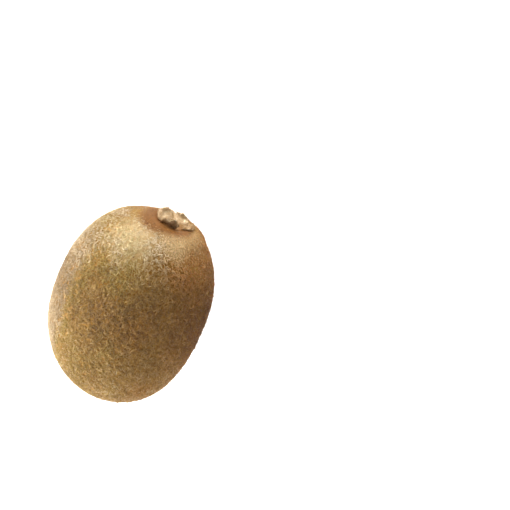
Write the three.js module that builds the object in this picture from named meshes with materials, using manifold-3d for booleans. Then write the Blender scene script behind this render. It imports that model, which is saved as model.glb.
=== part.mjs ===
// A kiwi fruit, picked and lying on its flank. The berry is one solid: an egg-shaped body, a little
// wider than it is high, with a shallow basin at the stem end, a small pucker at the blossom end and
// a small flat spot that it rests on. Three dried parts of the flower are left on it: the calyx, a
// rosette of five withered sepals on a low collar; the pedicel scar, the corky plug in the middle of
// the calyx where the stalk broke off; and the style tuft, a hard button with a whorl of dried
// styles, in the pucker at the other end.
// Frame: millimetres, +Z up. The long axis lies along X with the stem end at +X. The origin is on the
// surface that the fruit rests on, under the middle of its box.
import * as THREE from "three";
import { mergeVertices } from "three/addons/utils/BufferGeometryUtils.js";
import Module from "manifold-3d";

const wasm = await Module();
wasm.setup();

// The berry. Its outline along the axis is a superellipse, whose fullness is 2 for a plain ellipse.
const HALF_LENGTH = 33.4;
const HALF_WIDTH = 24.5;
const HALF_HEIGHT = 23.4;
const STEM_FULLNESS = 2.46;
const BLOSSOM_FULLNESS = 2.5;
const STEM_DRIFT = -0.2; // how far each end stands off the long axis, along Y
const BLOSSOM_DRIFT = -2.0;
const BASIN = { depth: 3.0, radius: 5.7, edge: 2.6 }; // at the stem end; a higher edge is steeper
const ASIDE = { shift: -2.0, from: 0.8, to: 0.95 }; // the basin stands off the stem end's middle
const PUCKER = { depth: 1.9, radius: 2.9, edge: 2.2 }; // at the blossom end
const UNEVEN = 0.006; // height of the slow swellings, as a share of the radius
const REST_DEPTH = 0.5; // what the small flat spot takes off the lowest swelling
const AROUND = 68;
const ALONG = 48;
const ROW_BUNCHING = 0.26; // gathers the rows of points towards both ends

// Dried parts. Every one keeps this gap to the piece that it grows from.
const GAP = 0.3;
const SOCKET = { radius: 4.5, depth: 0.9 }; // in the basin, for the calyx collar
const COLLAR = { radius: 4.2, height: 0.9, hole: 2.5, floor: 0.35 };
const SCAR = { radius: 2.2, rim: 1.25, dish: 0.35, bundle: 0.45 };
const BLADE_THICKNESS = 0.62;
const BLADE_ROOT = { radius: 2.7, height: 0.65 }; // where a sepal's middle line starts in the collar
const BLADE_BEND = { share: 0.85, height: 1.7 }; // it leaves the collar towards this share of its reach
const BLADE_CUP = 0.45; // how far a sepal's edges cup up
const BLADE_INWARDS = 0.15; // how far its thickness stands to the inner side of the middle line
// Turn round the stem in degrees, reach from the stem's axis, width, height of the tip over the
// basin's middle, and how far the tip curls in (or, below zero, droops out).
const SEPALS = [
  { turn: 72, reach: 6.0, width: 5.2, lift: 2.8, curl: 0.3 },
  { turn: 131, reach: 5.9, width: 5.2, lift: 3.0, curl: 0.4 },
  { turn: 190, reach: 5.0, width: 5.0, lift: 2.7, curl: 0.8 },
  { turn: 262, reach: 3.9, width: 5.2, lift: 3.1, curl: -1.5 },
  { turn: 11, reach: 6.6, width: 4.3, lift: 2.3, curl: 0.5 },
];
const BLOSSOM_SOCKET = { radius: 1.9, depth: 0.7 };
const BUTTON = { radius: 1.6, height: 1.15 };
const STYLES = { count: 26, root: 0.42, tip: 0.16, reach: 3.3, shortest: 2.3, rise: 2.1 };
const SEED = 7;

const FLOOR_BLOCK = 120; // the block that cuts the flat spot

// A random number from 0 to 1 for a given count, the same each time.
const random = (n) => {
  const x = Math.sin(n * 127.1 + SEED * 311.7) * 43758.5453;
  return x - Math.floor(x);
};

// Slow swellings of a grown fruit: products of long waves over the direction from its middle.
const swelling = (d) =>
  Math.sin(4.1 * d.x + 1.7) * Math.sin(3.4 * d.y - 0.4) +
  0.8 * Math.sin(4.9 * d.z - 0.8) * Math.sin(3.3 * d.x - 1.0) +
  0.6 * Math.sin(5.7 * d.y + 2.8) * Math.sin(5.1 * d.z - 3.2);

// How far a hollow takes the skin in at a distance from the hollow's middle.
const sunkBy = ({ depth, radius, edge }, off) => depth * Math.exp(-((off / radius) ** edge));

// A point of the berry's skin about the middle of its long axis. polar is 0 at the stem end and PI at
// the blossom end, and around turns from +Y to +Z.
function skinPoint(polar, around) {
  const along = Math.cos(polar);
  const fullness = along > 0 ? STEM_FULLNESS : BLOSSOM_FULLNESS;
  const share = Math.sqrt(Math.max(0, 1 - Math.abs(along) ** fullness));
  const across = new THREE.Vector3(0, Math.cos(around), Math.sin(around));
  const direction = new THREE.Vector3(along, share * across.y, share * across.z);
  const radius = share * (1 + UNEVEN * swelling(direction));
  const off = Math.hypot(HALF_WIDTH * radius * across.y, HALF_HEIGHT * radius * across.z);
  const sunk = Math.sign(along) * sunkBy(along > 0 ? BASIN : PUCKER, off);
  const drift = (along > 0 ? STEM_DRIFT : BLOSSOM_DRIFT) * along * along;
  const aside = ASIDE.shift * THREE.MathUtils.smoothstep(along, ASIDE.from, ASIDE.to);
  return new THREE.Vector3(
    HALF_LENGTH * along - sunk,
    drift + aside + HALF_WIDTH * radius * across.y,
    HALF_HEIGHT * radius * across.z,
  );
}

// A geometry's points merged into one closed solid.
function solidOf(geometry) {
  const bare = new THREE.BufferGeometry();
  bare.setAttribute("position", geometry.getAttribute("position"));
  bare.setIndex(geometry.index);
  const merged = mergeVertices(bare, 1e-4);
  return new wasm.Manifold(
    new wasm.Mesh({
      numProp: 3,
      vertProperties: new Float32Array(merged.attributes.position.array),
      triVerts: new Uint32Array(merged.index.array),
    }),
  );
}

// The largest closed shell of a solid, without the bubbles left between the pieces joined in it.
const outerShell = (solid) =>
  solid.decompose().reduce((best, shell) => (shell.volume() > best.volume() ? shell : best));

function meshOf(name, solid, material) {
  const made = solid.getMesh();
  const geometry = new THREE.BufferGeometry();
  geometry.setAttribute("position", new THREE.BufferAttribute(made.vertProperties, 3));
  geometry.setIndex(new THREE.BufferAttribute(made.triVerts, 1));
  geometry.computeVertexNormals();
  const mesh = new THREE.Mesh(geometry, material);
  mesh.name = name;
  return mesh;
}

// Every point of a geometry moved by a function of the point.
function reshape(geometry, place) {
  const points = geometry.getAttribute("position");
  const point = new THREE.Vector3();
  for (let i = 0; i < points.count; i++) {
    const placed = place(point.fromBufferAttribute(points, i));
    points.setXYZ(i, placed.x, placed.y, placed.z);
  }
  return geometry;
}

// The egg-shaped body: a sphere's grid, its pole turned to +X, with each point put on the skin.
function berryBody() {
  return reshape(new THREE.SphereGeometry(1, AROUND, ALONG), (p) => {
    const even = Math.acos(THREE.MathUtils.clamp(p.y, -1, 1));
    const polar = even - ROW_BUNCHING * Math.sin(2 * even);
    return skinPoint(polar, Math.atan2(p.x, p.z));
  });
}

// A plain round hole along X, from a depth under the seat out past the skin.
function socketCutter(seat, facing, { radius, depth }) {
  const length = depth + BASIN.depth;
  const hole = new THREE.CylinderGeometry(radius, radius, length, 32);
  hole.rotateZ(Math.PI / 2);
  hole.translate(seat.x + facing * (length / 2 - depth), seat.y, seat.z);
  return solidOf(hole);
}

// A closed thin sheet over a grid, its two faces split into triangles alike. place(u, v, side) gives
// a point for u from -1 to 1 across, v from 0 to 1 along, and side 1 on top or -1 underneath.
function sheetSolid(columns, rows, place) {
  const points = [];
  const faces = [];
  const wide = columns + 1;
  const layer = wide * (rows + 1);
  for (const side of [1, -1])
    for (let j = 0; j <= rows; j++)
      for (let i = 0; i <= columns; i++)
        points.push(...place((2 * i) / columns - 1, j / rows, side).toArray());
  for (let j = 0; j < rows; j++)
    for (let i = 0; i < columns; i++) {
      const [a, b, c, d] = [j * wide + i, j * wide + i + 1, (j + 1) * wide + i + 1, (j + 1) * wide + i];
      faces.push(a, b, c, a, c, d);
      faces.push(layer + a, layer + c, layer + b, layer + a, layer + d, layer + c);
    }
  const border = [];
  for (let i = 0; i < columns; i++) border.push(i);
  for (let j = 0; j < rows; j++) border.push(j * wide + columns);
  for (let i = columns; i > 0; i--) border.push(rows * wide + i);
  for (let j = rows; j > 0; j--) border.push(j * wide);
  border.forEach((from, k) => {
    const to = border[(k + 1) % border.length];
    faces.push(from, layer + from, to, to, layer + from, layer + to);
  });
  const geometry = new THREE.BufferGeometry();
  geometry.setAttribute("position", new THREE.Float32BufferAttribute(points, 3));
  geometry.setIndex(faces);
  return solidOf(geometry);
}

// One withered sepal in the stem end's frame, whose +Y is the way out. Its middle line leaves the
// collar, bulges over the basin and ends at the tip; its width is an oval's, cut square at the
// collar, and its edges cup and wave.
function sepal({ turn, reach, width, lift, curl }, index) {
  const droop = Math.max(-curl, 0);
  const line = new THREE.CubicBezierCurve3(
    new THREE.Vector3(BLADE_ROOT.radius, BLADE_ROOT.height, 0),
    new THREE.Vector3(reach * BLADE_BEND.share, BLADE_BEND.height, 0),
    new THREE.Vector3(reach * 1.12 + 0.3 * curl, lift * 0.8 + 1.1 * droop, 0),
    new THREE.Vector3(reach - curl, lift, 0),
  );
  const away = THREE.MathUtils.degToRad(turn);
  return sheetSolid(8, 10, (u, v, side) => {
    const middle = line.getPoint(v);
    const tangent = line.getTangent(v);
    const up = new THREE.Vector3(-tangent.y, tangent.x, 0);
    const oval = 0.6 + 0.47 * Math.sin(Math.PI * v ** 0.8);
    const half = (width / 2) * oval * Math.sqrt(1 - 0.93 * v ** 3);
    const wave = 0.22 * v * Math.sin(5.2 * v + 2.4 * u + 1.7 * (index + 1));
    const height = BLADE_CUP * u * u * v + wave + BLADE_INWARDS + (side * BLADE_THICKNESS) / 2;
    return new THREE.Vector3(middle.x + up.x * height, middle.y + up.y * height, u * half)
      .applyAxisAngle(new THREE.Vector3(0, 1, 0), away);
  });
}

// The collar and its five sepals, joined, with the round seat of the pedicel scar in the middle.
function calyxSolid() {
  const { radius, height, hole, floor } = COLLAR;
  const foot = GAP - SOCKET.depth;
  const profile = [
    [0, foot],
    [radius - 0.3, foot],
    [radius, foot + 0.3],
    [radius - 0.1, height * 0.7],
    [hole + 0.5, height],
    [0, height],
  ].map(([x, y]) => new THREE.Vector2(x, y));
  const seat = new THREE.CylinderGeometry(hole, hole, 2 * height, 28).translate(0, floor + height, 0);
  const joined = SEPALS.reduce(
    (whole, values, index) => whole.add(sepal(values, index)),
    solidOf(new THREE.LatheGeometry(profile, 32)),
  );
  return joined.subtract(solidOf(seat));
}

// The corky plug left by the stalk: a low dish with a thick rim and the stalk's core in the middle.
function scarSolid() {
  const { radius, rim, dish, bundle } = SCAR;
  const foot = COLLAR.floor + GAP;
  const profile = [
    [0, foot],
    [radius - 0.1, foot],
    [radius, foot + 0.2],
    [radius - 0.05, rim - 0.2],
    [radius - 0.35, rim],
    [radius - 0.8, rim - dish * 0.6],
    [radius * 0.4, rim - dish],
    [radius * 0.22, rim - dish * 0.5],
    [0, rim - dish + bundle * 0.6],
  ].map(([x, y]) => new THREE.Vector2(x, y));
  return solidOf(new THREE.LatheGeometry(profile, 28));
}

// The hard button and its whorl of dried styles, in the blossom end's frame, whose +Y is the way out.
// Each style is a thin four-sided spike, sunk into the button, that leans out and bends over.
function styleTuftSolid() {
  const foot = GAP - BLOSSOM_SOCKET.depth;
  const { radius, height } = BUTTON;
  const profile = [
    [0, foot],
    [radius, foot],
    [radius, height * 0.55],
    [radius * 0.7, height * 0.9],
    [radius * 0.35, height],
    [0, height * 0.8],
  ].map(([x, y]) => new THREE.Vector2(x, y));
  let joined = solidOf(new THREE.LatheGeometry(profile, 24));
  for (let i = 0; i < STYLES.count; i++) {
    const away = ((i + 0.5 * random(i)) / STYLES.count) * 2 * Math.PI;
    const reach = THREE.MathUtils.lerp(STYLES.shortest, STYLES.reach, random(i + 40));
    const rise = STYLES.rise * THREE.MathUtils.lerp(0.85, 1.1, random(i + 80));
    const line = new THREE.QuadraticBezierCurve3(
      new THREE.Vector3(radius * 0.45, height * 0.45, 0),
      new THREE.Vector3(radius * 1.15, rise * 1.05, 0),
      new THREE.Vector3(reach, rise * 0.95, (random(i + 120) - 0.5) * 1.2),
    );
    const spike = new THREE.CylinderGeometry(STYLES.tip, STYLES.root, 1, 4, 3);
    reshape(spike, (p) => {
      const share = p.y + 0.5;
      const middle = line.getPoint(share);
      const tangent = line.getTangent(share);
      const side = new THREE.Vector3(0, 0, 1).cross(tangent).normalize();
      const other = new THREE.Vector3().crossVectors(side, tangent);
      return middle.addScaledVector(side, p.x).addScaledVector(other, p.z)
        .applyAxisAngle(new THREE.Vector3(0, 1, 0), away);
    });
    joined = joined.add(solidOf(spike));
  }
  return outerShell(joined);
}

const finish = (color, roughness) => new THREE.MeshStandardMaterial({ color, roughness, metalness: 0 });
const SKIN = finish(0x8a6a3c, 0.85);
const SEPAL = finish(0xc9ad82, 0.95);
const CORK = finish(0x8c7354, 0.95);
const DRIED_STYLE = finish(0x5a432c, 0.9);

const stemSeat = skinPoint(0, 0);
const blossomSeat = skinPoint(Math.PI, 0);

const kiwi = new THREE.Group();

// The flat spot is cut by a block whose top is the surface that the fruit rests on.
const whole = solidOf(berryBody());
const axisHeight = -whole.boundingBox().min[2] - REST_DEPTH;
const block = new THREE.BoxGeometry(FLOOR_BLOCK, FLOOR_BLOCK, FLOOR_BLOCK);
block.translate(0, 0, -axisHeight - FLOOR_BLOCK / 2);
const berry = whole
  .subtract(socketCutter(stemSeat, 1, SOCKET))
  .subtract(socketCutter(blossomSeat, -1, BLOSSOM_SOCKET))
  .subtract(solidOf(block));
kiwi.add(meshOf("berry", berry, SKIN));

const stemEnd = new THREE.Group();
stemEnd.position.copy(stemSeat);
stemEnd.rotation.z = -Math.PI / 2;
stemEnd.add(meshOf("calyx", calyxSolid(), SEPAL));
stemEnd.add(meshOf("pedicel_scar", scarSolid(), CORK));
kiwi.add(stemEnd);

const blossomEnd = new THREE.Group();
blossomEnd.position.copy(blossomSeat);
blossomEnd.rotation.z = Math.PI / 2;
blossomEnd.add(meshOf("style_tuft", styleTuftSolid(), DRIED_STYLE));
kiwi.add(blossomEnd);

// The origin goes under the middle of the whole fruit's box, on the surface.
const box = new THREE.Box3().setFromObject(kiwi, true);
const middle = box.getCenter(new THREE.Vector3());
kiwi.children.forEach((child) => {
  child.position.x -= middle.x;
  child.position.y -= middle.y;
  child.position.z += axisHeight;
});

export default kiwi;
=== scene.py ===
import bpy
import numpy as np
from mathutils import Matrix, Vector


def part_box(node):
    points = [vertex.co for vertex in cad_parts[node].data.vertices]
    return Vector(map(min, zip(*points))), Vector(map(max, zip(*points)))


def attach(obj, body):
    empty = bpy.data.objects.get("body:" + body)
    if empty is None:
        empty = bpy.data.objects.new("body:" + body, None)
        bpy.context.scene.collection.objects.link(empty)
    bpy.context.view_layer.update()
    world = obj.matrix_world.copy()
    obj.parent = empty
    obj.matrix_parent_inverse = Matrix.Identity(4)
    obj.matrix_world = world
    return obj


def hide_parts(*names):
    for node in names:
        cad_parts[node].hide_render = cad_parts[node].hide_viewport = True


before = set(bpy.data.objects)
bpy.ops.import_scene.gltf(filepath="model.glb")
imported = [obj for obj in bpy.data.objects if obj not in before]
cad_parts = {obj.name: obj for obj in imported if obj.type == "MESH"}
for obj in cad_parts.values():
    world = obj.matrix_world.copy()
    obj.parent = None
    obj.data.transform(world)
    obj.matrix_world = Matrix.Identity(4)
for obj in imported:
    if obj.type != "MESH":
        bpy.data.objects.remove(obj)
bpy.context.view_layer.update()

# The berry's skin. A thin dry brown skin, grown in one piece round soft flesh: an egg shape, fuller
# than an ellipse, with a shallow basin at the stem end and a small pucker at the blossom end. It is
# a blotched tan, reddish brown round the basin and pitted with pores, with painted highlights on the
# shoulder.

MM = 0.001  # shapes are worked out in millimetres, about the middle of the fruit's long axis
HALF_LENGTH = 33.4
HALF_WIDTH = 24.5
HALF_HEIGHT = 23.4
STEM_FULLNESS = 2.46  # 2 would be a plain ellipse
BLOSSOM_FULLNESS = 2.5
STEM_DRIFT = -0.2  # how far each end stands off the long axis, along Y
BLOSSOM_DRIFT = -2.0
BASIN = (3.0, 5.7, 2.6)  # depth, radius, and how steep its edge is
ASIDE = -2.0  # how far the basin stands off the stem end's middle, along Y
ASIDE_FROM, ASIDE_TO = 0.8, 0.95  # the shares along the axis between which it moves there
PUCKER = (1.9, 2.9, 2.2)
UNEVEN = 0.006  # what a swelling of 1 adds to the radius, as a share of it
GATHERED = 0.26  # how far the rows of the grid are drawn towards both ends, in radians
SKIN_ROWS, SKIN_COLUMNS = 150, 220


def nearness(off, radius, edge=2):
    """1 at no distance, fading to 0 round a radius: exp(-(off / radius) ** edge)."""
    return np.exp(-((off / radius) ** edge))


def rising(value, start, width):
    """0 up to a start, then rising evenly to 1 over a width."""
    return np.clip((value - start) / width, 0, 1)


def sunk_by(hollow, off):
    """How deep a hollow is at a distance from its middle: depth * nearness."""
    depth, radius, edge = hollow
    return depth * nearness(off, radius, edge)


def swelling(x, y, z):
    """Slow swellings of a grown fruit: products of long sine waves over the direction."""
    return (
        np.sin(4.1 * x + 1.7) * np.sin(3.4 * y - 0.4)
        + 0.8 * np.sin(4.9 * z - 0.8) * np.sin(3.3 * x - 1.0)
        + 0.6 * np.sin(5.7 * y + 2.8) * np.sin(5.1 * z - 3.2)
    )


def skin_about_axis(polar, around):
    """The skin about the middle of the long axis. x is half the length times cos(polar), less the
    depth of the basin or the pucker. Across it, the radius is sqrt(1 - |cos(polar)| ** fullness),
    and y and z are its ellipse at that radius, set off the axis by a drift that grows towards each
    end, and by the basin's own step aside."""
    along = np.cos(polar)
    fullness = np.where(along > 0, STEM_FULLNESS, BLOSSOM_FULLNESS)
    share = np.sqrt(np.maximum(0, 1 - np.abs(along) ** fullness))
    y, z = np.cos(around), np.sin(around)
    radius = share * (1 + UNEVEN * swelling(along, share * y, share * z))
    off = np.hypot(HALF_WIDTH * radius * y, HALF_HEIGHT * radius * z)
    sunk = np.where(along > 0, sunk_by(BASIN, off), -sunk_by(PUCKER, off))
    drift = np.where(along > 0, STEM_DRIFT, BLOSSOM_DRIFT) * along**2
    moved = rising(along, ASIDE_FROM, ASIDE_TO - ASIDE_FROM)
    drift = drift + ASIDE * moved**2 * (3 - 2 * moved)
    return np.stack(
        [HALF_LENGTH * along - sunk, drift + HALF_WIDTH * radius * y, HALF_HEIGHT * radius * z], -1
    )


def grown_rows(count):
    """Polar angles from pole to pole: even - GATHERED * sin(2 * even)."""
    even = np.linspace(0, np.pi, count)
    return even - GATHERED * np.sin(2 * even)


# The solid that this skin stands for says where the axis lies in the frame.
polar, around = np.meshgrid(
    grown_rows(SKIN_ROWS), np.linspace(0, 2 * np.pi, SKIN_COLUMNS, endpoint=False), indexing="ij"
)
bare = skin_about_axis(polar, around).reshape(-1, 3)
berry_low, berry_high = (np.array(corner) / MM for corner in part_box("berry"))
AXIS = np.array([
    berry_high[0] - bare[:, 0].max(),
    (berry_high[1] + berry_low[1] - bare[:, 1].max() - bare[:, 1].min()) / 2,
    berry_high[2] - bare[:, 2].max(),
])


def skin_at(polar, around):
    """The skin in the frame, pressed flat where it would reach below the surface it rests on."""
    place = skin_about_axis(polar, around) + AXIS
    place[..., 2] = np.maximum(place[..., 2], 0)
    return place


def skin_directions(polar, around):
    """The skin's outward normal, and the direction along it to the blossom end, from differences."""
    step = 1e-3
    down = skin_about_axis(polar + step, around) - skin_about_axis(polar - step, around)
    side = skin_about_axis(polar, around + step) - skin_about_axis(polar, around - step)
    normal = np.cross(down, side)
    normal /= np.linalg.norm(normal, axis=-1, keepdims=True)
    down /= np.linalg.norm(down, axis=-1, keepdims=True)
    return normal, down


def ripples(points, wavelength, seed, waves=28):
    """A smooth random field, about -1 to 1: the sum of cosine waves of about one length that run in
    random directions with random phases, scaled to a spread of a half."""
    rng = np.random.default_rng(seed)
    heading = rng.normal(size=(waves, 3))
    heading /= np.linalg.norm(heading, axis=1, keepdims=True)
    heading *= 2 * np.pi / wavelength * rng.uniform(0.7, 1.4, (waves, 1))
    phase = rng.uniform(0, 2 * np.pi, waves)
    total = np.zeros(points.shape[:-1])
    for k in range(waves):
        total += np.cos(points @ heading[k] + phase[k])
    return total / np.sqrt(2 * waves)


def make_piece(name, points, *faces):
    """A piece that rides on the fruit, from points in millimetres and arrays of faces, each row of
    which has the numbers of a face's three or four points, anticlockwise from outside."""
    mesh = bpy.data.meshes.new(name)
    mesh.vertices.add(len(points))
    mesh.vertices.foreach_set("co", np.ascontiguousarray(points * MM, np.float32).ravel())
    corners = np.concatenate([rows.ravel() for rows in faces]).astype(np.int32)
    sizes = np.concatenate([np.full(len(rows), rows.shape[1]) for rows in faces])
    mesh.loops.add(len(corners))
    mesh.loops.foreach_set("vertex_index", corners)
    mesh.polygons.add(len(sizes))
    mesh.polygons.foreach_set("loop_start", (np.cumsum(sizes) - sizes).astype(np.int32))
    mesh.polygons.foreach_set("use_smooth", np.ones(len(sizes), bool))
    mesh.update(calc_edges=True)
    mesh.validate()
    piece = bpy.data.objects.new(name, mesh)
    bpy.context.scene.collection.objects.link(piece)
    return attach(piece, "root")


def ring_faces(rows, columns):
    """The four-sided faces between rings of points, each ring closed on itself."""
    first = np.arange(rows - 1)[:, None] * columns + np.arange(columns)
    after = np.arange(rows - 1)[:, None] * columns + (np.arange(columns) + 1) % columns
    return np.stack([first, first + columns, after + columns, after], -1).reshape(-1, 4)


def linear(hex_colour, alpha=1.0):
    """An sRGB hex colour as the linear numbers that the shader works in."""
    parts = [int(hex_colour[i:i + 2], 16) / 255 for i in (1, 3, 5)]
    return [c / 12.92 if c <= 0.04045 else ((c + 0.055) / 1.055) ** 2.4 for c in parts] + [alpha]


def repeats(size):
    """The scale of a pattern whose grains are this many millimetres apart, in repeats a metre."""
    return 1 / (size * MM)


def new_material(name):
    """An empty node material, its tree, its shader and a function that adds a node to it."""
    material = bpy.data.materials.new(name)
    material.use_nodes = True
    tree = material.node_tree

    def node(kind, inputs=None, **settings):
        """Adds a node with its settings. An input takes a value, or another node's output."""
        made = tree.nodes.new(kind)
        for key, value in settings.items():
            setattr(made, key, value)
        for key, value in (inputs or {}).items():
            if isinstance(value, bpy.types.NodeSocket):
                tree.links.new(value, made.inputs[key])
            else:
                made.inputs[key].default_value = value
        return made

    return material, tree, tree.nodes["Principled BSDF"], node


def set_ramp(ramp_node, stops):
    """Puts (position, hex colour) stops on a colour ramp."""
    elements = ramp_node.color_ramp.elements
    while len(elements) < len(stops):
        elements.new(0.5)
    for element, (position, colour) in zip(elements, stops):
        element.position = position
        element.color = linear(colour)


def mix(node, factor, below, above, how="MIX"):
    """The colour output of a mix node."""
    return node(
        "ShaderNodeMix", {"Factor": factor, "A": below, "B": above}, data_type="RGBA", blend_type=how
    ).outputs["Result"]


STEM_POLE = skin_at(np.array(0.0), np.array(0.0))
RED_MIDDLE = STEM_POLE + [0, 1.7, 2.7]  # the red ring reaches further on one side
RED_SPAN = 20.0  # the distance from there that the red ring's ramp covers
RED_EDGE = (9.2, 12.2)  # the distances between which it gives way to the tan
RED_BLUR = 5.0  # how far the blotches push its edge
FLAT_FADE = 1.5  # the relief fades out over this height above the flat spot
PAINTED_HIGHLIGHTS = [  # painted highlights on the shoulder: polar and around angle, reach in mm, share of the pale colour mixed in
    (0.61, 1.18, 11.0, 1.0),
    (0.46, 1.98, 6.5, 1.0),
    (0.38, 2.72, 6.0, 0.45),
]

# The grid, with its two end rings drawn together into poles.
normal, down = skin_directions(polar[1:-1], around[1:-1])
skin = skin_at(polar[1:-1], around[1:-1])
relief = 0.04 * ripples(skin, 6.0, 11) + 0.02 * ripples(skin, 1.6, 12) + 0.015 * ripples(skin, 0.9, 13)
relief *= rising(skin[..., 2], 0, FLAT_FADE)
skin = (skin + normal * relief[..., None]).reshape(-1, 3)
poles = skin_at(np.array([0, np.pi]), np.zeros(2))
inner_rows = SKIN_ROWS - 2
count = inner_rows * SKIN_COLUMNS
ring = np.arange(SKIN_COLUMNS)
after_ring = (ring + 1) % SKIN_COLUMNS
last = count - SKIN_COLUMNS
berry_skin = make_piece(
    "berry_skin",
    np.concatenate([skin, poles]),
    ring_faces(inner_rows, SKIN_COLUMNS),
    np.stack([np.full_like(ring, count), ring, after_ring], -1),
    np.stack([np.full_like(ring, count + 1), last + after_ring, last + ring], -1),
)
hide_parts("berry")

# The skin is a dead, dry, corky layer over green flesh. It grew rough and nothing has polished it,
# so it is matt. The eye gets a blotched tan, dark pores, a reddish ring and pale highlights painted
# on the shoulder.
skin_material, tree, shader, node = new_material("kiwi_skin_dry_epidermis")
place = node("ShaderNodeTexCoord").outputs["Object"]
patches = node(
    "ShaderNodeTexNoise", {"Vector": place, "Scale": repeats(11), "Detail": 4.0, "Roughness": 0.6}
)
tan = node("ShaderNodeValToRGB", {"Fac": patches.outputs["Fac"]})
set_ramp(tan, [(0.25, "#6b4a1c"), (0.5, "#855f28"), (0.75, "#967438")])
pores = node("ShaderNodeTexVoronoi", {"Vector": place, "Scale": repeats(1.1)})
pore_shade = node("ShaderNodeValToRGB", {"Fac": pores.outputs["Distance"]})
set_ramp(pore_shade, [(0.0, "#8a8a8a"), (0.35, "#ffffff")])
tan = tan.outputs["Color"]
# Painted highlights: round each spot the tan is mixed towards a pale colour, where the light falls on the
# shoulder.
for spot_polar, spot_around, reach, highlight_share in PAINTED_HIGHLIGHTS:
    spot = skin_at(np.array(spot_polar), np.array(spot_around))
    spot_middle = node("ShaderNodeMapping", {"Vector": place, "Location": tuple(-spot * MM)})
    off_spot = node("ShaderNodeVectorMath", {0: spot_middle.outputs["Vector"]}, operation="LENGTH")
    painted_highlight = node(
        "ShaderNodeMapRange",
        {
            "Value": off_spot.outputs["Value"],
            "From Min": reach * MM,
            "From Max": 0.35 * reach * MM,
            "To Max": highlight_share,
        },
    )
    tan = mix(node, painted_highlight.outputs["Result"], tan, linear("#b79a6c"))
stem_end = node("ShaderNodeMapping", {"Vector": place, "Location": tuple(-RED_MIDDLE * MM)})
off_stem = node("ShaderNodeVectorMath", {0: stem_end.outputs["Vector"]}, operation="LENGTH")
blurred = node("ShaderNodeMath", {0: patches.outputs["Fac"], 1: RED_BLUR * MM}, operation="MULTIPLY")
off_stem = node("ShaderNodeMath", {0: off_stem.outputs["Value"], 1: blurred.outputs["Value"]})
ring_at = node("ShaderNodeMapRange", {"Value": off_stem.outputs["Value"], "From Max": RED_SPAN * MM})
ring_shade = node("ShaderNodeValToRGB", {"Fac": ring_at.outputs["Result"]})
set_ramp(ring_shade, [(0.25, "#7c5229"), (0.42, "#744c22"), (0.54, "#6a4424"), (0.66, "#8f6a3a")])
red_full, red_gone = RED_EDGE
ring_edge = node(
    "ShaderNodeMapRange",
    {"Value": off_stem.outputs["Value"], "From Min": red_full * MM, "From Max": red_gone * MM},
)
tan = mix(node, ring_edge.outputs["Result"], ring_shade.outputs["Color"], tan)
pitted = mix(node, 1.0, tan, pore_shade.outputs["Color"], "MULTIPLY")
tree.links.new(pitted, shader.inputs["Base Color"])
shader.inputs["Roughness"].default_value = 0.6
shader.inputs["Specular IOR Level"].default_value = 0.1
bump = node("ShaderNodeBump", {"Height": patches.outputs["Fac"], "Strength": 0.5, "Distance": 0.4 * MM})
tree.links.new(bump.outputs["Normal"], shader.inputs["Normal"])
berry_skin.data.materials.append(skin_material)

# The down. Every part of the skin between the basin and the pucker grows short, stiff, dry hairs,
# ashen to russet, that lean over, kink and mat together in small tufts. They are shorter and finer
# round the stem end.

HAIRS_A_TUFT = 2
TUFT_OFF = 0.3  # how far a tuft stands off its even place
TUFT_SPREAD = 0.22  # how far a tuft's roots stand off its middle
DRAWN_IN = 0.3  # the share of that which its hairs come together by in each half of their length
BENT_OVER = 0.15  # the share of its rise that a hair keeps past its middle
FLATTENED = 0.55  # height of a hair's ring as a share of its reach sideways
HAIR_SUNK = 0.12  # how deep a hair's root is in the skin
LOWEST = 0.02  # no hair comes nearer than this to what the fruit rests on
HAIR_POINTS = 5
HAIR_TONES = np.array([0.85, 0.97, 0.97, 0.97, 1.03])  # of its root, its ring and its tip
HAIR_ON_MAP = np.array([0, -0.005, 0, 0.005, 0])  # how far up each point lies on its map
BARE_BASIN, BARE_PUCKER = 6.3, 3.0  # no hair grows this near the axis at either end
LIGHT_SHADE_AND_TINT_PATCHES = [  # patches painted paler or darker for light and shade, some also redder or less red: polar and around angle, radius in mm, how much paler and redder
    (0.61, 1.18, 9.0, 0.35, 0.0),
    (0.50, 1.92, 5.5, 0.48, 0.0),
    (0.60, 2.30, 8.0, 0.16, 0.4),
    (0.40, 2.80, 5.5, 0.12, 0.1),
    (0.46, 5.68, 4.0, -0.26, 0.3),
    (0.50, 0.20, 5.0, 0.14, -0.2),
    (1.45, 2.25, 9.0, 0.09, 0.0),
    (2.02, 1.47, 9.0, -0.07, 0.0),
    (0.97, 1.15, 6.0, -0.06, -0.15),
    (0.82, 0.95, 8.0, -0.05, 0.0),
    (1.20, 1.40, 9.0, -0.05, 0.0),
    (1.45, 2.35, 11.0, 0.06, -0.1),
    (0.55, 2.85, 6.0, 0.0, 0.35),
]
GOLDEN_TURN = np.pi * (3 - 5**0.5)


def down_cover(x, off):
    """Full on the flanks, thinner on the stem end's shoulder, none in the basin or the pucker. x is
    the share along the axis and off the distance from it."""
    shoulder = 1 - 0.15 * rising(x, 0.55, 0.4)
    basin = rising(off, BARE_BASIN, 6.0) ** 0.8
    pucker = rising(off, BARE_PUCKER, 1.0)
    return np.where(x > 0, shoulder * basin, pucker)


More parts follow.
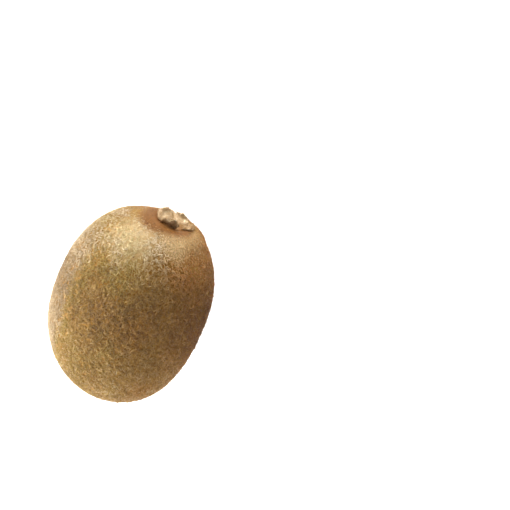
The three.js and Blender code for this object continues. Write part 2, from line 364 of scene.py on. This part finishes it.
def rooted(count, rng):
    """The angles of count roots, set as seeds in a sunflower's head: each is a golden turn round
    from the one before, with an equal share of the covered skin between them, and a little out of
    place."""
    polar = np.linspace(0.002, np.pi - 0.002, 2000)
    place = skin_about_axis(polar, np.full_like(polar, np.pi / 2))
    off = place[:, 2]
    band = np.linalg.norm(np.gradient(place, axis=0), axis=1) * off
    covered = np.cumsum(band * down_cover(np.cos(polar), off))
    order = np.arange(count) + rng.uniform(0, 1)
    polar = np.interp(order / count * covered[-1], covered, polar)
    around = order * GOLDEN_TURN + rng.uniform(0, 2 * np.pi)
    jitter = rng.normal(0, TUFT_OFF, (2, count)) / HALF_WIDTH
    return polar + jitter[0], around + jitter[1] / np.maximum(np.sin(polar), 0.1)


def make_hairs(name, root, middle, tip, level, above, tone, warmth):
    """Closed spindles: each a point, a ring of three corners round its middle and a point. level and
    above are the reach of the ring sideways and upwards. On its map, a hair lies at its tone across,
    darker at the root, and at its warmth upwards."""
    spikes = np.stack([root, middle + level, middle + above, middle - level, tip], 1)
    spikes[..., 2] = np.maximum(spikes[..., 2], LOWEST)
    start = (np.arange(len(root)) * HAIR_POINTS)[:, None, None]
    faces = np.array([[0, 1, 2], [0, 2, 3], [0, 3, 1], [4, 2, 1], [4, 3, 2], [4, 1, 3]])
    piece = make_piece(name, spikes.reshape(-1, 3), (start + faces).reshape(-1, 3))
    at = np.empty((len(root), HAIR_POINTS, 2))
    at[..., 0] = np.clip(tone[:, None] * HAIR_TONES, 0.01, 0.99)
    at[..., 1] = np.clip(warmth, 0.02, 0.98)[:, None] + HAIR_ON_MAP
    vertex = np.empty(len(piece.data.loops), np.int32)
    piece.data.loops.foreach_get("vertex_index", vertex)
    layer = piece.data.uv_layers.new(name="OFBake")
    layer.uv.foreach_set("vector", at.reshape(-1, 2)[vertex].astype(np.float32).ravel())
    piece.data.materials.append(hair_material)
    return piece


def tufts(name, seed, count, length, width, lean, paler):
    """Tufts of hairs. A tuft leaves the skin at the angle lean and is turned from the blossom end by
    a random field and angle; halfway it leans further over and kinks aside. Its hairs start spread
    out and end closer together."""
    rng = np.random.default_rng(seed)
    many = count // HAIRS_A_TUFT
    polar, around = rooted(many, rng)
    root = skin_at(polar, around)
    normal, down = skin_directions(polar, around)
    side = np.cross(normal, down)
    turn = 0.8 * ripples(root, 7.0, 21) + 0.7 * ripples(root, 2.4, 22) + rng.normal(0, 1.2, many)
    kink = rng.normal(0, 0.8, many)
    rise = np.clip(lean + rng.normal(0, 0.12, many), 0.1, 1.2)
    from_stem = np.linalg.norm(root - STEM_POLE, axis=1)
    grown = 0.5 + 0.5 * rising(from_stem, 7, 16)
    long = length * grown * rng.uniform(0.65, 1.25, many)
    x, y = root[:, 0], root[:, 1]
    flank = rising(-y, 0, 22)  # towards -Y

    # Tone is how pale a tuft is. It is mottled and darker near the red ring. A painted highlight makes it
    # paler on the shoulder, painted light along the outline makes it paler towards +Y, and painted shade
    # makes it darker across the fruit's middle and on the stem half of the flank towards -Y.
    tone = 0.55 + paler + 0.04 * ripples(root, 11.0, 31) + 0.05 * ripples(root, 3.0, 32)
    tone += rng.normal(0, 0.05, many)
    # painted highlight: a paler band round the stem end's shoulder
    tone += 0.04 * nearness(from_stem - 14, 7)
    tone -= 0.35 * nearness(np.linalg.norm(root - RED_MIDDLE, axis=1), 7.6, 4)
    # painted shade: a darker band across the fruit's middle
    tone -= 0.24 * nearness(x - 3, 12)
    # painted light: paler towards +Y, along the lit outline
    tone += 0.1 * rising(y, 6, 16)
    # painted shadow: darker on the stem half of the flank towards -Y
    tone -= 0.15 * flank * rising(x, -5, 15)

    # Warmth is how red it is. It is highest round the stem and towards -Y, lower on the shoulder and
    # the blossom half, and lowest on the flank towards +Y, where ashen grey hairs paint a pale haze of
    # light along the outline.
    warmth = 0.5 + 0.07 * ripples(root, 14.0, 33) + 0.45 * nearness(from_stem - 6, 4)
    warmth += 0.3 * flank
    # painted light: ashen grey on the blossom half of the flank towards +Y, a pale haze along the outline
    warmth -= 0.6 * rising(y, 12, 9) * rising(-x, -24, 10)
    warmth -= 0.3 * nearness(from_stem - 20, 9) * rising(y, -12, 20)
    warmth -= 0.12 * rising(-x, -4, 16)
    warmth += rng.normal(0, 0.04, many)
    # Painted light and shade: each patch makes the tufts near it paler or darker, and redder or less red.
    for patch_polar, patch_around, radius, paler_by, redder_by in LIGHT_SHADE_AND_TINT_PATCHES:
        off = np.linalg.norm(root - skin_at(np.array(patch_polar), np.array(patch_around)), axis=1)
        tone += paler_by * nearness(off, radius)
        warmth += redder_by * nearness(off, radius)

    each = np.repeat(np.arange(many), HAIRS_A_TUFT)
    normal, down, side = normal[each], down[each], side[each]
    spread = rng.normal(0, TUFT_SPREAD, (len(each), 2, 1))
    spread = spread[:, 0] * down + spread[:, 1] * side
    angle = turn[each] + rng.normal(0, 0.3, len(each))
    rise = rise[each] + rng.normal(0, 0.12, len(each))
    step = (long[each] * rng.uniform(0.75, 1.15, len(each)) / 2)[:, None]
    thick = (width * grown[each] ** 0.5 * rng.uniform(0.8, 1.2, len(each)) / 2)[:, None]
    ahead = down * np.cos(angle)[:, None] + side * np.sin(angle)[:, None]
    first = ahead * np.cos(rise)[:, None] + normal * np.sin(rise)[:, None]
    foot = root[each] + spread - normal * HAIR_SUNK
    halfway = foot + first * step - spread * DRAWN_IN
    level = np.cross(ahead, normal)
    angle = angle + kink[each]
    rise = rise * BENT_OVER
    ahead = down * np.cos(angle)[:, None] + side * np.sin(angle)[:, None]
    second = ahead * np.cos(rise)[:, None] + normal * np.sin(rise)[:, None]
    tip = halfway + second * step - spread * DRAWN_IN
    above = normal * thick * FLATTENED
    tone = tone[each] + rng.normal(0, 0.04, len(each))
    piece = make_hairs(name, foot, halfway, tip, level * thick, above, tone, warmth[each])


# Each hair is a dead, flattened thread, brown at its root and bleached towards its tip. The down is
# matt, and its thin edges catch the light as a soft pale sheen along the fruit's outline. The map
# gives each hair its tone across, and its warmth upwards: ashen, olive, straw, then russet.
hair_material, tree, shader, node = new_material("kiwi_down_dry_hair")
hair_map = node("ShaderNodeUVMap", uv_map="OFBake")
parts = node("ShaderNodeSeparateXYZ", {"Vector": hair_map.outputs["UV"]})
tones = {
    "ashen": [(0.0, "#463a24"), (0.35, "#80694a"), (0.65, "#b79f78"), (1.0, "#f0e6d0")],
    "olive": [(0.0, "#3f3110"), (0.35, "#765f24"), (0.65, "#a88b48"), (1.0, "#e0ce9c")],
    "straw": [(0.0, "#432f12"), (0.35, "#7d5b28"), (0.65, "#af8a50"), (1.0, "#ecd9b6")],
    "russet": [(0.0, "#45270e"), (0.35, "#8a5624"), (0.65, "#bc8242"), (1.0, "#e8c28c")],
}
shades = {}
for name, stops in tones.items():
    ramp = node("ShaderNodeValToRGB", {"Fac": parts.outputs["X"]})
    set_ramp(ramp, stops)
    shades[name] = ramp.outputs["Color"]
dry = node("ShaderNodeMapRange", {"Value": parts.outputs["Y"], "From Min": 0.05, "From Max": 0.22})
cool = node("ShaderNodeMapRange", {"Value": parts.outputs["Y"], "From Min": 0.25, "From Max": 0.5})
warm = node("ShaderNodeMapRange", {"Value": parts.outputs["Y"], "From Min": 0.55, "From Max": 0.9})
hair_colour = mix(node, dry.outputs["Result"], shades["ashen"], shades["olive"])
hair_colour = mix(node, cool.outputs["Result"], hair_colour, shades["straw"])
hair_colour = mix(node, warm.outputs["Result"], hair_colour, shades["russet"])
tree.links.new(hair_colour, shader.inputs["Base Color"])
shader.inputs["Roughness"].default_value = 0.7
shader.inputs["Specular IOR Level"].default_value = 0.12
shader.inputs["Sheen Weight"].default_value = 0.14
shader.inputs["Sheen Roughness"].default_value = 0.4

for part in range(3):
    tufts(
        f"short_down_{part + 1}",
        seed=100 + part,
        count=32000,
        length=1.5,
        width=0.2,
        lean=0.28,
        paler=-0.02,
    )
tufts("long_down", seed=200, count=30000, length=2.1, width=0.17, lean=0.38, paler=0.14)

# The dried calyx. Five withered sepals, thin and felted, that stand on a low collar round the scar
# of the stalk, with their edges curled and torn. They are pale straw, and brown at the root: partly
# dried colour and partly painted shade in the crease round them.

SEPALS = [  # turn round the stem in degrees, reach, width, height of the tip, curl inwards
    (72, 6.0, 5.2, 2.8, 0.3),
    (131, 5.9, 5.2, 3.0, 0.4),
    (190, 5.0, 5.0, 2.7, 0.8),
    (262, 3.9, 5.2, 3.1, -1.5),
    (11, 6.6, 4.3, 2.3, 0.5),
]
BROWNED = [0.0, 0.0, 0.1, 0.25, 0.6]  # how brown each of them has dried all over
SEPAL_ROWS, SEPAL_COLUMNS = 34, 30
SEPAL_ROOT = (2.7, 0.65)  # distance from the stem's axis, and height over the basin's middle
SEPAL_THICKNESS = 0.34


def from_stem_seat(out, off, turn, across=0.0):
    """Points over the basin's middle: out of the fruit along X, and off the stem's axis at a turn
    from -Y towards -Z. across goes sideways from there."""
    y = -off * np.cos(turn) - across * np.sin(turn)
    z = -off * np.sin(turn) + across * np.cos(turn)
    return STEM_POLE + np.stack(np.broadcast_arrays(out, y, z), -1)


def sheet_faces(rows, columns):
    """The faces of a thin closed sheet: a grid on top, the same grid underneath, and its border."""
    grid = np.arange(rows * columns).reshape(rows, columns)
    top = np.stack([grid[:-1, :-1], grid[:-1, 1:], grid[1:, 1:], grid[1:, :-1]], -1).reshape(-1, 4)
    border = np.concatenate([grid[0, :-1], grid[:-1, -1], grid[-1, :0:-1], grid[:0:-1, 0]])
    beyond = np.roll(border, -1)
    under = rows * columns
    rim = np.stack([beyond, border, border + under, beyond + under], -1)
    return np.concatenate([top, top[:, ::-1] + under, rim])


def sepal(turn, reach, width, lift, curl, seed):
    """One sepal: its middle line is a Bezier curve out of the collar, over the basin and up to the
    tip; its half width an oval's; its height over the line a cup of u * u, slow waves and ripples."""
    v, u = np.meshgrid(np.linspace(0, 1, SEPAL_ROWS), np.linspace(-1, 1, SEPAL_COLUMNS), indexing="ij")
    rng = np.random.default_rng(seed)
    bulge = (reach * 1.12 + 0.3 * curl, lift * 0.8 + 1.1 * max(-curl, 0))
    corners = np.array([SEPAL_ROOT, (reach * 0.85, 1.7), bulge, (reach - curl, lift)])
    share = np.stack([(1 - v) ** 3, 3 * v * (1 - v) ** 2, 3 * v**2 * (1 - v), v**3], -1)
    line = share @ corners
    slope = np.gradient(line, axis=0)
    slope /= np.linalg.norm(slope, axis=-1, keepdims=True)
    torn = 1 + 0.08 * np.sin(17 * v + 9 * seed) + 0.09 * np.sin(31 * v * np.sign(u) + seed)
    half = width / 2 * (0.6 + 0.47 * np.sin(np.pi * v**0.8)) * np.sqrt(1 - 0.93 * v**3) * torn
    across = u * half
    height = 0.45 * u * u * v + 0.22 * v * np.sin(5.2 * v + 2.4 * u + 1.7 * seed)
    height += 0.10 * v * np.sin(8.5 * u + 2.5 * v + 2.3 * seed) + 0.05 * np.cos(5 * np.pi * u) * v
    flat = np.stack([line[..., 0], line[..., 1], across], -1)
    height += 0.6 * v * (np.abs(ripples(flat, 2.3, seed)) - 0.3) + 0.24 * v * ripples(flat, 1.0, seed + 9)
    thick = SEPAL_THICKNESS * (1 - 0.4 * u * u) * (1 - 0.3 * v)
    sides = []
    for side in (0.5, -0.5):
        over = height + side * thick
        off = line[..., 0] - slope[..., 1] * over
        out = line[..., 1] + slope[..., 0] * over
        sides.append(from_stem_seat(out, off, np.radians(turn), across))
    return np.stack(sides)


def turned_rings(profile, columns):
    """A profile of (off, out) pairs carried round the stem's axis, as rings of points."""
    profile = np.array(profile)
    turn = np.linspace(0, 2 * np.pi, columns, endpoint=False)
    return from_stem_seat(profile[:, 1:], profile[:, :1], -turn[None])


def keep_brown_and_shade(piece, brown_and_shade):
    """Keeps how brown each point is, 0 to 1, with the painted shade at the roots, in an attribute that
    the material reads.
    """
    layer = piece.data.attributes.new("root_brown_and_shade", "FLOAT", "POINT")
    layer.data.foreach_set("value", np.ascontiguousarray(brown_and_shade, np.float32).ravel())


leaves = np.stack([sepal(*values, seed=k + 1) for k, values in enumerate(SEPALS)])
one_sheet = SEPAL_ROWS * SEPAL_COLUMNS * 2
sheets = (np.arange(len(SEPALS)) * one_sheet)[:, None, None] + sheet_faces(SEPAL_ROWS, SEPAL_COLUMNS)
dried_sepals = make_piece("dried_sepals", leaves.reshape(-1, 3), sheets.reshape(-1, 4))
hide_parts("calyx")

# A sepal is brown at its root, more so on the outer face: partly dried colour and partly painted
# shade in the crease under it. Three have browned all over as well.
along = np.linspace(0, 1, SEPAL_ROWS)[:, None]
brown_and_shade = np.stack([0.4 * np.clip(1 - along / 0.3, 0, 1), np.clip(0.9 - along / 0.25, 0, 1)])
brown_and_shade = np.clip(brown_and_shade + np.array(BROWNED)[:, None, None, None], 0, 1)
brown_and_shade = np.broadcast_to(brown_and_shade, leaves.shape[:4])
keep_brown_and_shade(dried_sepals, brown_and_shade)

# The collar that the sepals stand on is a low thick ring of the same dried tissue, closed into a
# loop: its last ring of points joins its first.
COLLAR_COLUMNS = 90
COLLAR_PROFILE = [
    (2.5, 0.1), (2.5, 0.6), (2.6, 0.85), (2.9, 0.95), (3.3, 0.9), (3.8, 0.75), (4.1, 0.55), (4.2, 0.2),
    (4.2, -0.3), (3.9, -0.55), (3.2, -0.6), (2.7, -0.3),
]
collar = turned_rings(COLLAR_PROFILE, COLLAR_COLUMNS)
collar = collar + 0.08 * ripples(collar, 1.1, 41)[..., None] * np.array([1, 0.4, 0.4])
loop = ring_faces(len(COLLAR_PROFILE), COLLAR_COLUMNS)
seam = ring_faces(2, COLLAR_COLUMNS)
last_ring = (len(COLLAR_PROFILE) - 1) * COLLAR_COLUMNS
seam = np.where(seam >= COLLAR_COLUMNS, seam - COLLAR_COLUMNS, seam + last_ring)
sepal_collar = make_piece("sepal_collar", collar.reshape(-1, 3), np.concatenate([loop, seam]))
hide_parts("calyx")
# The whole collar is brown: dried colour, and painted shade where it sits in the basin.
keep_brown_and_shade(sepal_collar, np.ones(len(COLLAR_PROFILE) * COLLAR_COLUMNS))

# Sepal tissue is a leaf that dried on the fruit and shrank into creases, under a felt of fine hairs.
# It is matt, straw coloured where the sun bleached it, with small blotches, and brown at the root,
# where the brown is partly painted shade.
sepal_material, tree, shader, node = new_material("kiwi_sepal_dry_felt")
place = node("ShaderNodeTexCoord").outputs["Object"]
patches = node(
    "ShaderNodeTexNoise", {"Vector": place, "Scale": repeats(1.4), "Detail": 5.0, "Roughness": 0.65}
)
straw = node("ShaderNodeValToRGB", {"Fac": patches.outputs["Fac"]})
set_ramp(straw, [(0.3, "#b08a5c"), (0.44, "#e4c797"), (0.56, "#f8e6c0"), (0.75, "#fff6e2")])
root_brown_and_shade = node("ShaderNodeAttribute", attribute_name="root_brown_and_shade")
browned_and_shaded = mix(node, root_brown_and_shade.outputs["Fac"], straw.outputs["Color"], linear("#8a6239"))
tree.links.new(browned_and_shaded, shader.inputs["Base Color"])
shader.inputs["Roughness"].default_value = 0.9
shader.inputs["Specular IOR Level"].default_value = 0.2
felt = node("ShaderNodeTexNoise", {"Vector": place, "Scale": repeats(0.38), "Detail": 3.0})
bump = node("ShaderNodeBump", {"Height": felt.outputs["Fac"], "Strength": 0.6, "Distance": 0.25 * MM})
tree.links.new(bump.outputs["Normal"], shader.inputs["Normal"])
dried_sepals.data.materials.append(sepal_material)
sepal_collar.data.materials.append(sepal_material)

# Both faces of the sepals are felted with short pale hairs that lie every way.
FELT_HAIRS = 6000
FELT_REACH, FELT_RISE = 0.055, 0.045  # of a felt hair's ring, sideways and upwards
rng = np.random.default_rng(51)
over = np.cross(np.gradient(leaves, axis=3), np.gradient(leaves, axis=2))
over /= np.linalg.norm(over, axis=-1, keepdims=True)
over[:, 1] *= -1
spot = tuple(rng.integers(0, size, FELT_HAIRS) for size in leaves.shape[:4])
foot, over = leaves[spot], over[spot]
lying = np.cross(over, rng.normal(size=(FELT_HAIRS, 3)))
lying /= np.linalg.norm(lying, axis=1, keepdims=True)
foot = foot + lying * rng.uniform(-0.1, 0.1, (FELT_HAIRS, 1)) - over * 0.05
halfway = foot + (lying * 0.9 + over * 0.35) * rng.uniform(0.25, 0.55, (FELT_HAIRS, 1))
level = np.cross(lying, over)
bent = lying * 0.8 + level * rng.normal(0, 0.7, (FELT_HAIRS, 1)) + over * 0.1
# Felt hairs are darker where the sepal is brown at its root, so they carry its painted shade too.
felt_hairs = make_hairs(
    "sepal_felt",
    foot,
    halfway,
    halfway + bent * 0.5,
    level * FELT_REACH,
    over * FELT_RISE,
    rng.normal(0.98, 0.08, FELT_HAIRS) - 0.3 * brown_and_shade[spot],
    rng.normal(0.68, 0.06, FELT_HAIRS),
)

# The pedicel scar. The stalk snapped off in the middle of the calyx and left a low corky plug: a
# dish with a thick rim, the ends of the stalk's strands in its floor and its core in the middle.

SCAR_PROFILE = [
    (0.0, 0.65), (1.2, 0.65), (2.05, 0.65), (2.2, 0.85), (2.15, 1.05), (2.0, 1.2), (1.8, 1.24),
    (1.4, 1.06), (0.9, 0.9), (0.5, 1.05), (0.25, 1.15), (0.0, 1.17),
]
SCAR_ROWS, SCAR_COLUMNS = 56, 96
STRANDS = 17


def even_profile(profile, count):
    """The same profile in count points, with each pair of neighbours equally far apart."""
    profile = np.array(profile)
    gone = np.concatenate([[0], np.cumsum(np.linalg.norm(np.diff(profile, axis=0), axis=1))])
    even = np.linspace(0, gone[-1], count)
    return np.stack([np.interp(even, gone, profile[:, k]) for k in range(2)], -1)


def closed_turning(rings):
    """Rings whose first and last lie at one point each: the points, and the faces between them with
    a fan at either end. The profile starts at the bottom and goes outwards first."""
    rows, columns = rings.shape[:2]
    points = np.concatenate([rings[1:-1].reshape(-1, 3), rings[0, :1], rings[-1, :1]])
    ring = np.arange(columns)
    beyond = (ring + 1) % columns
    count = (rows - 2) * columns
    last = count - columns
    start = np.stack([np.full_like(ring, count), ring, beyond], -1)
    end = np.stack([np.full_like(ring, count + 1), last + beyond, last + ring], -1)
    return points, ring_faces(rows - 2, columns), start, end


profile = even_profile(SCAR_PROFILE, SCAR_ROWS)
scar_rings = turned_rings(profile, SCAR_COLUMNS)
open_air = rising(profile[:, 1:], 0.8, 0.3) * rising(profile[:, :1], 0, 0.6)
turn = np.linspace(0, 2 * np.pi, SCAR_COLUMNS, endpoint=False)
spokes = np.cos(STRANDS * turn[None] + 3 * profile[:, :1])
cork = 0.10 * ripples(scar_rings, 0.9, 61) + 0.06 * ripples(scar_rings, 0.45, 62) + 0.035 * spokes
scar_rings = scar_rings + (cork * open_air)[..., None] * np.array([1, 0, 0])
stalk_scar = make_piece("stalk_scar", *closed_turning(scar_rings))
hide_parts("pedicel_scar")

# The scar is cork that grew over the break: dull, powdery, tan grains with darker hollows between.
# Its grains are 0.31 mm apart, coarser than real ones, so that they show.
scar_material, tree, shader, node = new_material("kiwi_stalk_scar_cork")
place = node("ShaderNodeTexCoord").outputs["Object"]
grains = node("ShaderNodeTexVoronoi", {"Vector": place, "Scale": repeats(0.31)})
cork_shade = node("ShaderNodeValToRGB", {"Fac": grains.outputs["Distance"]})
set_ramp(cork_shade, [(0.1, "#8d7048"), (0.5, "#a88a5e"), (0.9, "#c2a678")])
hollows = node("ShaderNodeTexNoise", {"Vector": place, "Scale": repeats(1.1), "Detail": 4.0})
hollow_shade = node("ShaderNodeValToRGB", {"Fac": hollows.outputs["Fac"]})
set_ramp(hollow_shade, [(0.35, "#7a6248"), (0.6, "#ffffff")])
stained = mix(node, 1.0, cork_shade.outputs["Color"], hollow_shade.outputs["Color"], "MULTIPLY")
tree.links.new(stained, shader.inputs["Base Color"])
shader.inputs["Roughness"].default_value = 0.95
shader.inputs["Specular IOR Level"].default_value = 0.15
bump = node(
    "ShaderNodeBump", {"Height": grains.outputs["Distance"], "Strength": 0.5, "Distance": 0.1 * MM}
)
tree.links.new(bump.outputs["Normal"], shader.inputs["Normal"])
stalk_scar.data.materials.append(scar_material)

# The style tuft. At the blossom end a hard dark button sits in the pucker and carries two whorls of
# dried styles, stiff and wiry, that lean out and bend over. Each ends in a small swollen stigma.

BLOSSOM_POLE = skin_at(np.array(np.pi), np.array(0.0))
BUTTON_PROFILE = [
    (0.0, -0.4), (0.8, -0.4), (1.5, -0.4), (1.6, -0.2), (1.6, 0.6), (1.45, 0.85), (1.1, 1.03),
    (0.6, 1.15), (0.3, 1.08), (0.0, 0.92),
]
BUTTON_ROWS, BUTTON_COLUMNS = 36, 60
STYLE_ROWS, STYLE_SIDES = 16, 6


def from_blossom_seat(out, off, turn, across=0.0):
    """Points over the pucker's middle: out of the fruit against X, and off its axis at a turn from
    +Y towards -Z. across goes sideways from there."""
    y = off * np.cos(turn) + across * np.sin(turn)
    z = -off * np.sin(turn) + across * np.cos(turn)
    return BLOSSOM_POLE + np.stack(np.broadcast_arrays(-out, y, z), -1)


profile = even_profile(BUTTON_PROFILE, BUTTON_ROWS)
turn = np.linspace(0, 2 * np.pi, BUTTON_COLUMNS, endpoint=False)
button_rings = from_blossom_seat(profile[:, 1:], profile[:, :1], -turn[None])
open_air = rising(profile[:, 1:], 0, 0.4) * rising(profile[:, :1], 0, 0.4)
warts = 0.07 * ripples(button_rings, 0.8, 71) + 0.04 * ripples(button_rings, 0.4, 72)
button_rings = button_rings - (warts * open_air)[..., None] * np.array([1, 0, 0])
style_button = make_piece("style_button", *closed_turning(button_rings))
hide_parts("style_tuft")


def styles(count, inner, reach, rise, seed):
    """A whorl of styles. Each middle line is a Bezier curve from inside the button, up, and over to
    the tip; the radius falls from root to neck as 0.2 - 0.1 * v and swells at the stigma."""
    rng = np.random.default_rng(seed)
    away = (np.arange(count) + rng.uniform(0, 0.6, count)) / count * 2 * np.pi
    reach = reach * rng.uniform(0.72, 1.0, count)
    rise = rise * rng.uniform(0.8, 1.08, count)
    bend = rng.uniform(-0.9, 0.9, count)
    corners = np.stack([
        np.stack([np.full(count, inner), np.full(count, 0.5), np.zeros(count)], -1),
        np.stack([inner + 0.45 * (reach - inner), rise * 1.25, -0.4 * bend], -1),
        np.stack([reach, rise * 0.9, bend], -1),
    ])
    v = np.linspace(0, 1, STYLE_ROWS)
    share = np.stack([(1 - v) ** 2, 2 * v * (1 - v), v**2])
    line = np.einsum("kr,ksc->src", share, corners)
    slope = np.gradient(line, axis=1)
    slope /= np.linalg.norm(slope, axis=-1, keepdims=True)
    side = np.cross([0.0, 0.0, 1.0], slope)
    side /= np.linalg.norm(side, axis=-1, keepdims=True)
    other = np.cross(slope, side)
    radius = 0.2 - 0.1 * v + 0.07 * nearness(v - 0.94, 0.06)
    radius[[0, -1]] = 0
    corner = np.linspace(0, 2 * np.pi, STYLE_SIDES, endpoint=False)
    ring = side[:, :, None] * np.cos(corner)[:, None] + other[:, :, None] * np.sin(corner)[:, None]
    tube = line[:, :, None] + ring * radius[None, :, None, None]
    return from_blossom_seat(tube[..., 1], tube[..., 0], away[:, None, None], tube[..., 2])


outer_whorl = styles(22, inner=0.9, reach=3.2, rise=1.9, seed=73)
inner_whorl = styles(15, inner=0.5, reach=2.2, rise=2.2, seed=74)
tubes = np.concatenate([outer_whorl, inner_whorl])
one_tube = STYLE_ROWS * STYLE_SIDES
start = (np.arange(len(tubes)) * one_tube)[:, None, None]
dried_styles = make_piece(
    "dried_styles", tubes.reshape(-1, 3), (start + ring_faces(STYLE_ROWS, STYLE_SIDES)).reshape(-1, 4)
)
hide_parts("style_tuft")

# The styles withered on the fruit into woody threads: umber in darker and paler spots, with a faint
# dull shine. The button is of the same stuff.
style_material, tree, shader, node = new_material("kiwi_dried_style")
place = node("ShaderNodeTexCoord").outputs["Object"]
streaks = node("ShaderNodeTexNoise", {"Vector": place, "Scale": repeats(0.7), "Detail": 4.0})
umber = node("ShaderNodeValToRGB", {"Fac": streaks.outputs["Fac"]})
set_ramp(umber, [(0.3, "#2e1e12"), (0.5, "#4e3721"), (0.72, "#7d6040")])
tree.links.new(umber.outputs["Color"], shader.inputs["Base Color"])
shader.inputs["Roughness"].default_value = 0.75
shader.inputs["Specular IOR Level"].default_value = 0.3
bump = node("ShaderNodeBump", {"Height": streaks.outputs["Fac"], "Strength": 0.5, "Distance": 0.1 * MM})
tree.links.new(bump.outputs["Normal"], shader.inputs["Normal"])
style_button.data.materials.append(style_material)
dried_styles.data.materials.append(style_material)

# The studio: a pale table top, soft lamps and the camera. The table is a painted board, matt and
# nearly white, that gives off light of its own, so that it reads as plain white.

TABLE_REACH = 3  # how far the table top reaches each way, in metres
corners = [(x * TABLE_REACH, y * TABLE_REACH, 0) for x, y in ((-1, -1), (1, -1), (1, 1), (-1, 1))]
table = bpy.data.meshes.new("table_top")
table.from_pydata(corners, [], [(0, 1, 2, 3)])
table_top = bpy.data.objects.new("table_top", table)
bpy.context.scene.collection.objects.link(table_top)
pale, tree, shader, node = new_material("pale_matt_board")
shader.inputs["Base Color"].default_value = linear("#f4f4f4")
shader.inputs["Emission Color"].default_value = linear("#ffffff")
shader.inputs["Emission Strength"].default_value = 1.1
shader.inputs["Roughness"].default_value = 0.9
shader.inputs["Specular IOR Level"].default_value = 0.0
table.materials.append(pale)

TILT = np.radians(22)  # the view leans this far from straight down, towards the stem end
ROLL = 0.44  # how far the stem end is turned to the right of straight up, in radians
PICTURE = 510  # width and height of the picture
LENS, SENSOR = 85.0, 36.0
DISTANCE = 387.5
SEEN_AT = (130.2, 302.8)  # where the middle of the fruit's axis falls in the picture
back = np.array([np.sin(TILT), 0, np.cos(TILT)])
stemward = np.array([np.cos(TILT), 0, -np.sin(TILT)])
beside = np.cross(stemward, back)
right = beside * np.cos(ROLL) + stemward * np.sin(ROLL)
up = -beside * np.sin(ROLL) + stemward * np.cos(ROLL)
per_pixel = DISTANCE * SENSOR / LENS / PICTURE
aside = (SEEN_AT[0] - PICTURE / 2) * per_pixel
above = -(SEEN_AT[1] - PICTURE / 2) * per_pixel
eye = AXIS + back * DISTANCE - right * aside - up * above
camera = bpy.data.objects.new("camera", bpy.data.cameras.new("camera"))
camera.data.lens, camera.data.sensor_width = LENS, SENSOR
camera.data.clip_start, camera.data.clip_end = 0.01, 10
turned = Matrix([[right[i], up[i], back[i]] for i in range(3)]).to_4x4()
camera.matrix_world = Matrix.Translation(Vector(eye * MM)) @ turned
bpy.context.scene.collection.objects.link(camera)
bpy.context.scene.camera = camera


LAMP_DISTANCE, LAMP_SIZE = 0.8, 0.6  # in metres


def lamp(name, towards, watts):
    """A square soft lamp that stands off the fruit in a direction and shines at it."""
    light = bpy.data.lights.new(name, "AREA")
    light.size, light.energy = LAMP_SIZE, watts
    lamp_object = bpy.data.objects.new(name, light)
    direction = Vector(towards).normalized()
    lamp_object.location = Vector(AXIS * MM) + direction * LAMP_DISTANCE
    lamp_object.rotation_mode = "QUATERNION"
    lamp_object.rotation_quaternion = direction.to_track_quat("Z", "Y")
    bpy.context.scene.collection.objects.link(lamp_object)


lamp("key", back * 0.36 + up * 0.88 - right * 0.25, watts=9)
lamp("side", back * -0.02 - right * 0.95 + up * 0.1, watts=20)
lamp("fill", back * 0.2 - up * 0.75 - right * 0.6, watts=13.5)

# The air of the studio is bright all round and dark overhead.
world = bpy.data.worlds.new("studio_air")
bpy.context.scene.world = world
world.use_nodes = True
air = world.node_tree.nodes
facing = air.new("ShaderNodeTexCoord")
split = air.new("ShaderNodeSeparateXYZ")
height = air.new("ShaderNodeValToRGB")
set_ramp(height, [(0.0, "#ffffff"), (0.25, "#909090"), (0.7, "#242424")])
world.node_tree.links.new(facing.outputs["Generated"], split.inputs["Vector"])
world.node_tree.links.new(split.outputs["Z"], height.inputs["Fac"])
world.node_tree.links.new(height.outputs["Color"], air["Background"].inputs["Color"])
air["Background"].inputs["Strength"].default_value = 3.0
bpy.context.scene.view_settings.view_transform = "Standard"
